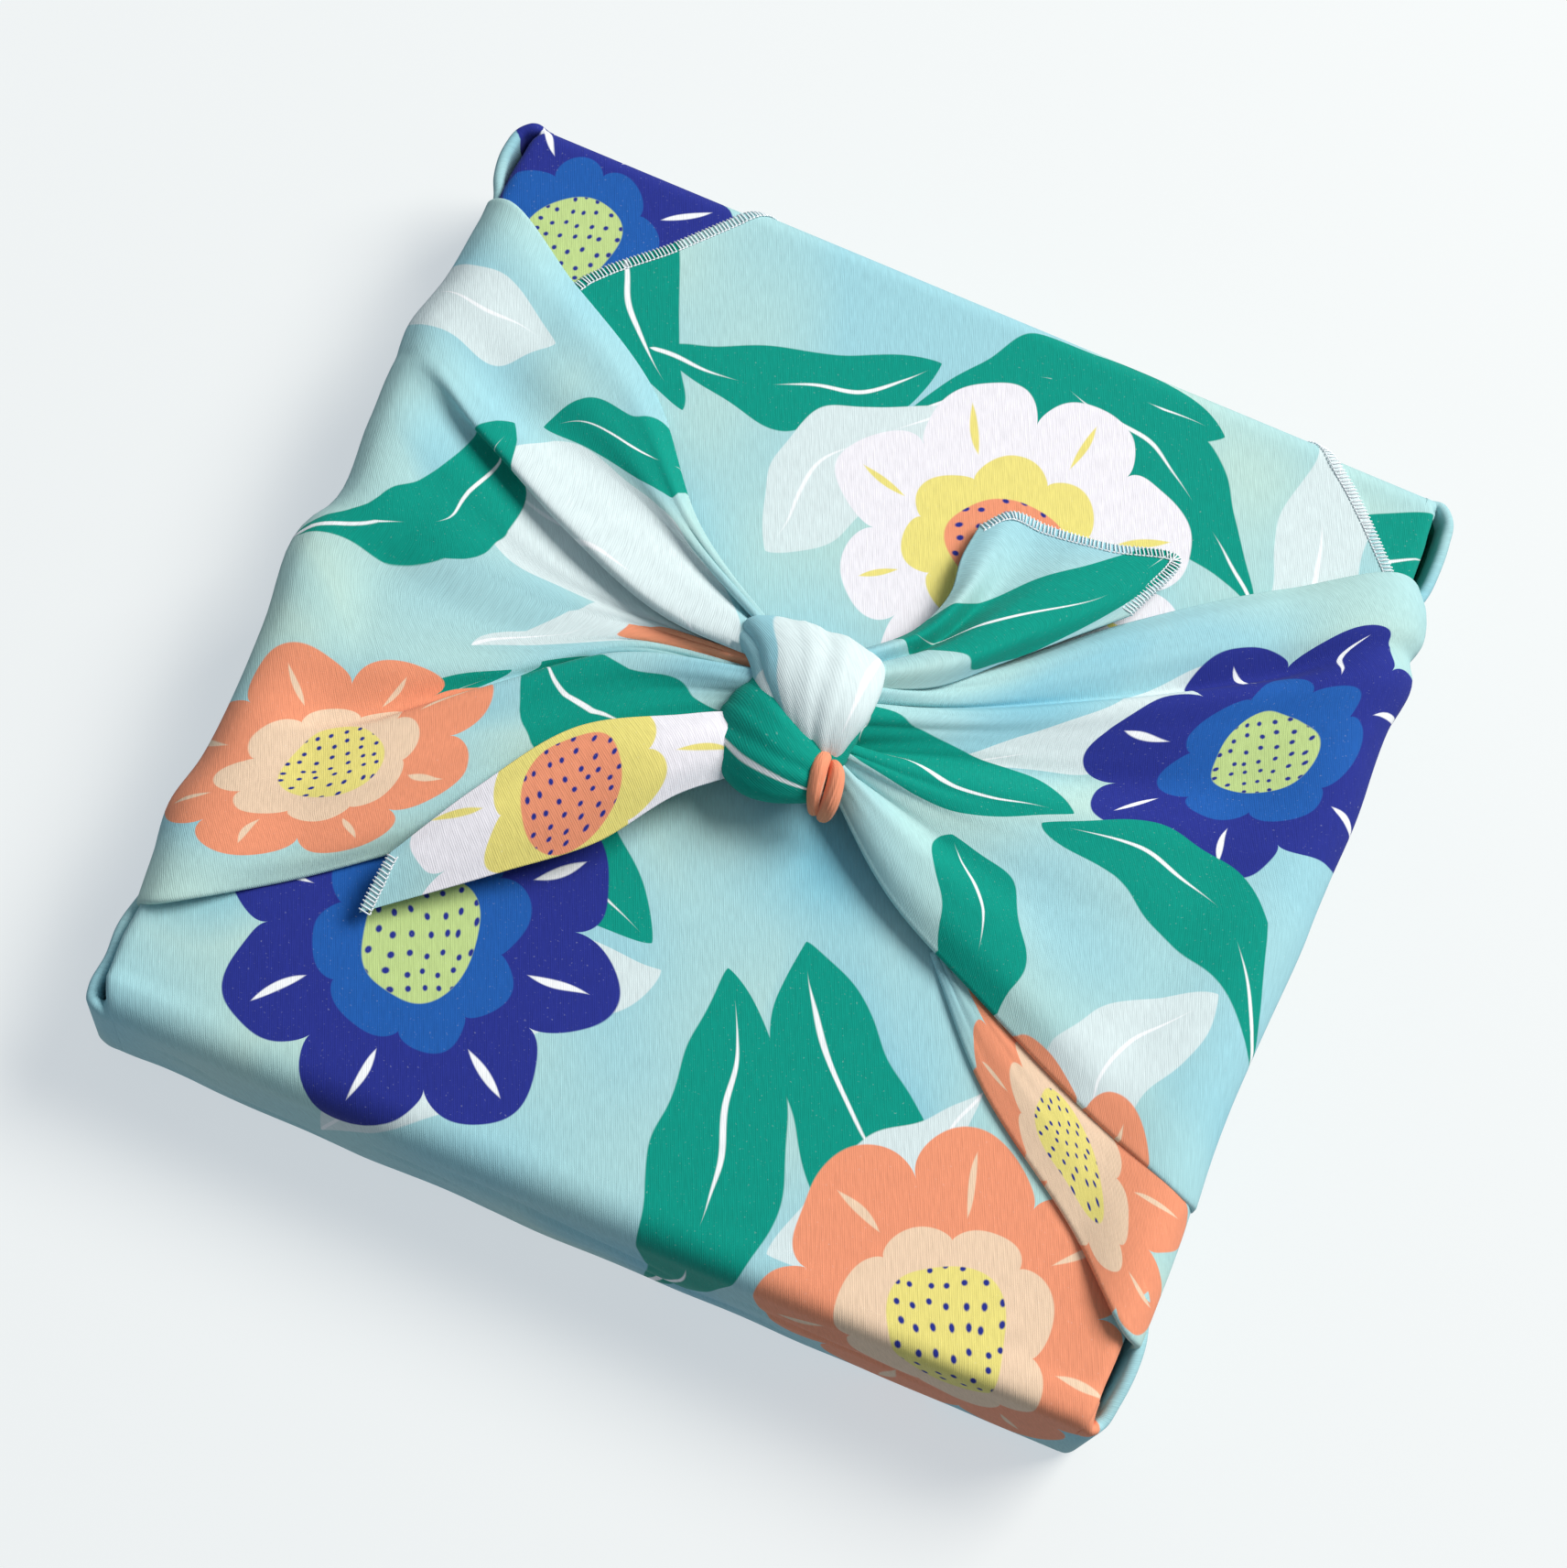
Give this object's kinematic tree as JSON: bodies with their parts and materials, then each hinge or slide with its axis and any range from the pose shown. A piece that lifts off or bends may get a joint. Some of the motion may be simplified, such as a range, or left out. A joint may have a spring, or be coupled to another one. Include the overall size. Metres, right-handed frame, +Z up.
{
  "type": "furoshiki wrap over a shallow square box",
  "caption": "Square of printed jersey wrapped over a shallow box, its corners gathered in fans of folds to one knot with two free ends.",
  "frame": {"origin": "middle of the underside, on the surface that the parcel rests on", "axes": "+Z up, +X along the near edge to the right, +Y away from the viewer"},
  "size_m": [0.2635, 0.2553, 0.0682],
  "materials": {
    "printed_jersey": "matte cotton jersey with a printed flower and leaf design",
    "board": "plain board"
  },
  "bodies": {
    "root": {"wrap": "printed_jersey", "carton": "board"}
  },
  "joints": []
}
